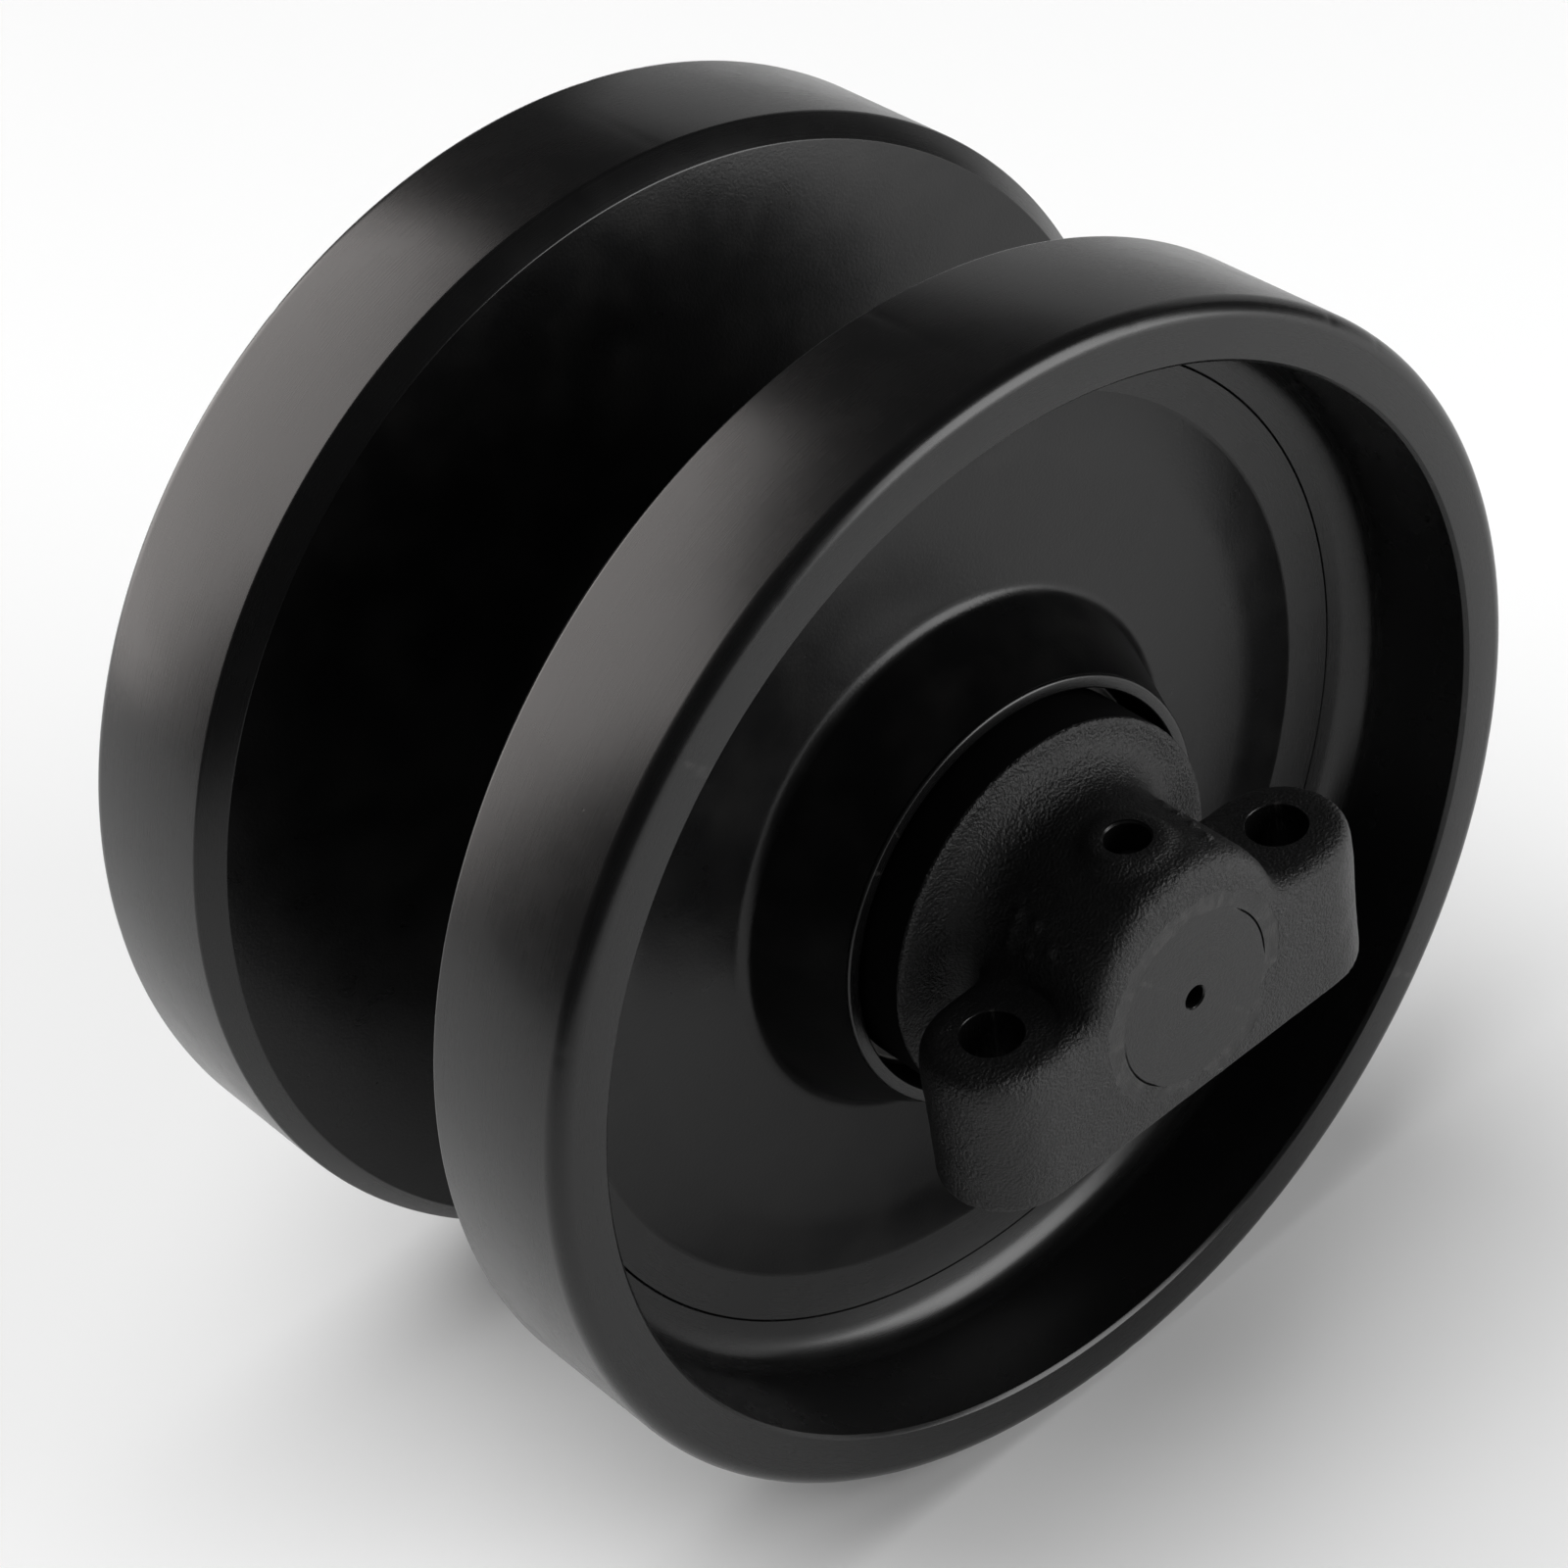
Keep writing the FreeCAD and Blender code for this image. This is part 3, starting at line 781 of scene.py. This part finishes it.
def collar_field():
    """The casting before drilling, as a field over (x, a, z): negative inside."""
    low = np.array([-LUG_REACH - 3, HUB_A - 2, -FLANGE_R - 3])
    high = np.array([LUG_REACH + 3, END_A + 3, FLANGE_R + 3])
    axes = [np.arange(lo, hi, GRID_PITCH) for lo, hi in zip(low, high)]
    x, a, z = np.meshgrid(*axes, indexing="ij")
    shaft_distance = np.hypot(x, z)
    lugs = np.hypot(np.maximum(np.abs(x) - LUG_X, 0), a - LUG_A) - LUG_R
    lugs = np.maximum(lugs, np.maximum(z - LUG_TOP_Z, FOOT_Z - FOOT_ALLOWANCE - z))
    hump = np.maximum(np.hypot(x, z - HUMP_Z) - HUMP_R, np.maximum(a - END_A, FLANGE_FRONT_A - BODY_LAP - a))
    body = blurred(np.minimum(lugs, hump), CAST_BLUR / GRID_PITCH)
    flange = round_max(shaft_distance - FLANGE_R, a - FLANGE_FRONT_A, FLANGE_EDGE_ROUND)
    fading = np.clip((LUG_TOP_Z - z) / (LUG_TOP_Z - FOOT_Z), 0, 1)
    casting = round_min(body, flange, HUMP_FILLET + (FOOT_FILLET - HUMP_FILLET) * fading)
    casting = np.maximum(casting, np.abs(x) - LUG_REACH)
    pad = round_max(np.hypot(x, a - LUG_A) - PIN_PAD_R, z - PIN_PAD_Z, PIN_PAD_ROUND)
    casting = round_min(casting, np.maximum(pad, -z), PIN_PAD_FILLET)
    spot = round_max(np.hypot(np.abs(x) - LUG_X, a - LUG_A) - SPOT_FACE_R, SPOT_FACE_Z - z, SPOT_FACE_ROUND)
    casting = round_max(casting, -spot, SPOT_FACE_RIM_ROUND)
    for pip in collar_pips():
        ball = np.sqrt((x - pip[0]) ** 2 + (a - pip[1]) ** 2 + (z - pip[2]) ** 2) - PIP_R
        casting = round_min(casting, ball, PIP_FILLET)
    rough = sum(soft_noise(x, a, z, wavelength, seed) * height for wavelength, seed, height in LUMPS)
    plain = np.maximum(np.clip(FLANGE_FRONT_A - a, 0, 1), np.clip(-spot, 0, 1))
    low_side = FACING_RUN_OUT * np.clip(0.5 - z / FACING_R, 0, 1)
    casting = casting + (rough + CAST_SHRINK + low_side) * (1 - plain)
    under_foot = np.maximum(z - FOOT_Z, LUG_A - LUG_R - a)
    casting = round_max(casting, -under_foot, FOOT_EDGE_ROUND)
    casting = np.where(a < FLANGE_BACK_A + 3, np.maximum(casting, FLANGE_BACK_A - a), casting)
    hub = np.maximum(shaft_distance - COLLAR_HUB_R, np.maximum(HUB_A - a, a - LUG_A))
    return np.minimum(casting, hub), low


def drill(name, radius, low_z, high_z, chamfer, look, x, y):
    """An upright round cutter that widens by the chamfer at high_z and runs on above it."""
    top = high_z + CUTTER_PAST
    outside = [(radius, top), (radius, low_z)]
    if chamfer > 0:
        mouth = radius + chamfer
        outside = [(mouth + chamfer, top), (mouth, high_z), (radius, high_z - chamfer), (radius, low_z)]
    outline = [(0, low_z), (0, top)] + outside
    cutter = lathe(name, [(r, a, 0, "cut") for r, a in outline], 1, DRILL_SEGMENTS, {"cut": look})
    cutter.data.transform(Matrix.Translation((x * MM, y * MM, 0)) @ Matrix.Rotation(math.radians(90), 4, "X"))
    return cutter


def ring_cutter(name, corners, side, look, reshape=None):
    """A cutter turned about the shaft's axis; a corner is (r, a, corner radius)."""
    named = [(r, a, rounding, "cut") for r, a, rounding in corners]
    return lathe(name, named, side, BORING_SEGMENTS, {"cut": look}, reshape)


def ragged(turn, radius, along):
    """Breaks up the rim of the facing, where the tool ran out on the cast skin."""
    x = FACING_R * np.cos(turn)
    z = FACING_R * np.sin(turn)
    wander = soft_noise(x, 0 * turn, z, 2.4, 41) + 0.6 * soft_noise(x, 0 * turn, z, 9.0, 42)
    return radius + 0.7 * wander * (radius > FACING_R - 1), along


def make_collars(bare):
    """Both end collars; bare is the material of their machined inside and foot."""
    cast = cast_paint()
    machined = turned_paint("flange_paint", "along", 0.004, ior=DULL_IOR, smoothest=0.5)
    facing = turned_paint("facing_paint", "radius", 0.001, grain_height=0.10)
    holes = turned_paint("hole_paint", "radius", 0.003)
    field, low = collar_field()
    points, quads = surface_net(field, low, GRID_PITCH)
    points[:, 1] = np.minimum(points[:, 1], END_A)
    middle = points[quads].mean(1)
    on_foot = (middle[:, 2] < FOOT_Z + 0.3) & (middle[:, 1] > LUG_A - LUG_R)
    on_flange = (middle[:, 1] < FLANGE_FRONT_A - 1.5) & (np.hypot(middle[:, 0], middle[:, 2]) > FLANGE_R - 1)
    face_slots = np.where(on_foot, 1, np.where(on_flange, 2, 0)).tolist()
    behind = HUB_A - CUTTER_PAST
    past_end = END_A + CUTTER_PAST
    housing_mouth_r = SEAL_HOUSING_R + SEAL_HOUSING_DRAFT
    housing = [(COLLAR_HUB_R, behind, 0), (COLLAR_HUB_R, SEAL_FLOOR_A, 2.0),
               (SEAL_HOUSING_R, SEAL_FLOOR_A, 2.0), (housing_mouth_r, FLANGE_BACK_A, 0),
               (housing_mouth_r + 8, behind, 0)]
    bore = [(0, behind, 0), (0, past_end, 0), (COLLAR_BORE_R, past_end, 0), (COLLAR_BORE_R, behind, 0)]
    turned_end = [(0, END_FACE_A, 0), (0, past_end, 0), (FACING_R, past_end, 0), (FACING_R, END_FACE_A, 0.3)]
    for side_name, side in SIDES.items():
        faces = quads if side > 0 else quads[:, ::-1]
        collar = new_piece("collar_casting_" + side_name, points * np.array([1, side, 1]), faces.tolist(),
                           [cast, bare, machined], face_slots)
        cutters = [ring_cutter("housing_cutter", housing, side, bare),
                   ring_cutter("facing_cutter", turned_end, side, facing, ragged),
                   ring_cutter("bore_cutter", bore, side, bare),
                   drill("pin_cutter", PIN_HOLE_R, PIN_FOOT_Z, PIN_PAD_Z, HOLE_CHAMFER, holes,
                         0, side * LUG_A)]
        for x in (-LUG_X, LUG_X):
            cutters.append(drill("bolt_cutter", BOLT_HOLE_R, FOOT_Z - CUTTER_PAST, SPOT_FACE_Z, HOLE_CHAMFER,
                                 holes, x, side * LUG_A))
        cut(collar, cutters)
        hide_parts("collar_" + side_name)
        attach(collar, "axle")


# ---- camera, floor, lights ----
CAMERA_AZIMUTH = -34.85
CAMERA_ELEVATION = 39.34
CAMERA_ROLL = -10.25
CAMERA_DISTANCE = 1.2071
CAMERA_AIM = (-0.0099, 0.0037, -0.0032)
CAMERA_LENS = 96.16
CAMERA_SENSOR = 36
FLOOR_HALF_WIDTH = 2.6
FLOOR_WHITE = 0.86
FLOOR_ROUGHNESS = 0.9
ROOM_RADIANCE = 0.05
BACKDROP_RADIANCE = 0.9


def make_camera():
    """A camera at the photograph's viewing angle."""
    azimuth = math.radians(CAMERA_AZIMUTH)
    elevation = math.radians(CAMERA_ELEVATION)
    back = Vector((math.sin(azimuth) * math.cos(elevation), -math.cos(azimuth) * math.cos(elevation),
                   math.sin(elevation)))
    right = Vector((math.cos(azimuth), math.sin(azimuth), 0))
    up = back.cross(right)
    turn = Matrix((right, up, back)).transposed() @ Matrix.Rotation(math.radians(CAMERA_ROLL), 3, "Z")
    data = bpy.data.cameras.new("camera")
    data.lens = CAMERA_LENS
    data.sensor_width = CAMERA_SENSOR
    camera = bpy.data.objects.new("camera", data)
    camera.matrix_world = Matrix.Translation(Vector(CAMERA_AIM) + back * CAMERA_DISTANCE) @ turn.to_4x4()
    bpy.context.scene.collection.objects.link(camera)
    bpy.context.scene.camera = camera


def make_floor():
    """A plain pale floor that the roller stands on."""
    half = FLOOR_HALF_WIDTH
    z = -TREAD_R * MM
    mesh = bpy.data.meshes.new("floor")
    mesh.from_pydata([(-half, -half, z), (half, -half, z), (half, half, z), (-half, half, z)], [],
                     [(0, 1, 2, 3)])
    floor = bpy.data.objects.new("floor", mesh)
    material = bpy.data.materials.new("floor")
    material.use_nodes = True
    shader = material.node_tree.nodes["Principled BSDF"]
    shader.inputs["Base Color"].default_value = (FLOOR_WHITE, FLOOR_WHITE, FLOOR_WHITE, 1)
    shader.inputs["Roughness"].default_value = FLOOR_ROUGHNESS
    mesh.materials.append(material)
    bpy.context.scene.collection.objects.link(floor)


def softbox(name, azimuth, elevation, distance, width, height, radiance, tint=(1, 1, 1)):
    """An area light that faces the middle of the roller; radiance is what a mirror would show."""
    data = bpy.data.lights.new(name, "AREA")
    data.shape = "RECTANGLE"
    data.size = width
    data.size_y = height
    data.energy = radiance * math.pi * width * height
    data.color = tint
    light = bpy.data.objects.new(name, data)
    turn = math.radians(azimuth)
    rise = math.radians(elevation)
    way = Vector((math.sin(turn) * math.cos(rise), -math.cos(turn) * math.cos(rise), math.sin(rise)))
    place = way * distance
    light.location = place
    light.rotation_euler = place.to_track_quat("Z", "Y").to_euler()
    bpy.context.scene.collection.objects.link(light)
    return light


def make_world():
    """A dim room for the object, and a plain pale backdrop for the camera."""
    world = bpy.data.worlds.new("world")
    world.use_nodes = True
    nodes = world.node_tree.nodes
    links = world.node_tree.links
    room = nodes["Background"]
    room.inputs["Color"].default_value = (1, 1, 1, 1)
    room.inputs["Strength"].default_value = ROOM_RADIANCE
    backdrop = nodes.new("ShaderNodeBackground")
    backdrop.inputs["Color"].default_value = (1, 1, 1, 1)
    backdrop.inputs["Strength"].default_value = BACKDROP_RADIANCE
    seen = nodes.new("ShaderNodeLightPath")
    mix = nodes.new("ShaderNodeMixShader")
    links.new(seen.outputs["Is Camera Ray"], mix.inputs["Fac"])
    links.new(room.outputs["Background"], mix.inputs[1])
    links.new(backdrop.outputs["Background"], mix.inputs[2])
    links.new(mix.outputs["Shader"], nodes["World Output"].inputs["Surface"])
    bpy.context.scene.world = world


def make_lights():
    """The studio: two softboxes to reflect, a dim card on the right, and a ceiling light for the floor."""
    softbox("front_softbox", azimuth=33, elevation=12, distance=2.2, width=1.35, height=1.7, radiance=6.5)
    left = softbox("left_softbox", azimuth=-159, elevation=25, distance=2.2, width=2.1, height=2.4,
                   radiance=3.7, tint=(1.0, 0.95, 0.93))
    left.visible_diffuse = False
    softbox("right_card", azimuth=115, elevation=12, distance=2.5, width=2.5, height=1.4, radiance=0.5)
    ceiling = softbox("ceiling", azimuth=-150, elevation=72, distance=3.0, width=3.6, height=3.6,
                      radiance=3.2)
    ceiling.visible_glossy = False


make_camera()
make_floor()
make_world()
make_lights()
dress_cad_nodes()
inner_steel = bore_steel()
make_shells(inner_steel)
make_weld()
make_shaft()
make_collars(inner_steel)
bpy.context.scene.view_settings.view_transform = "Standard"
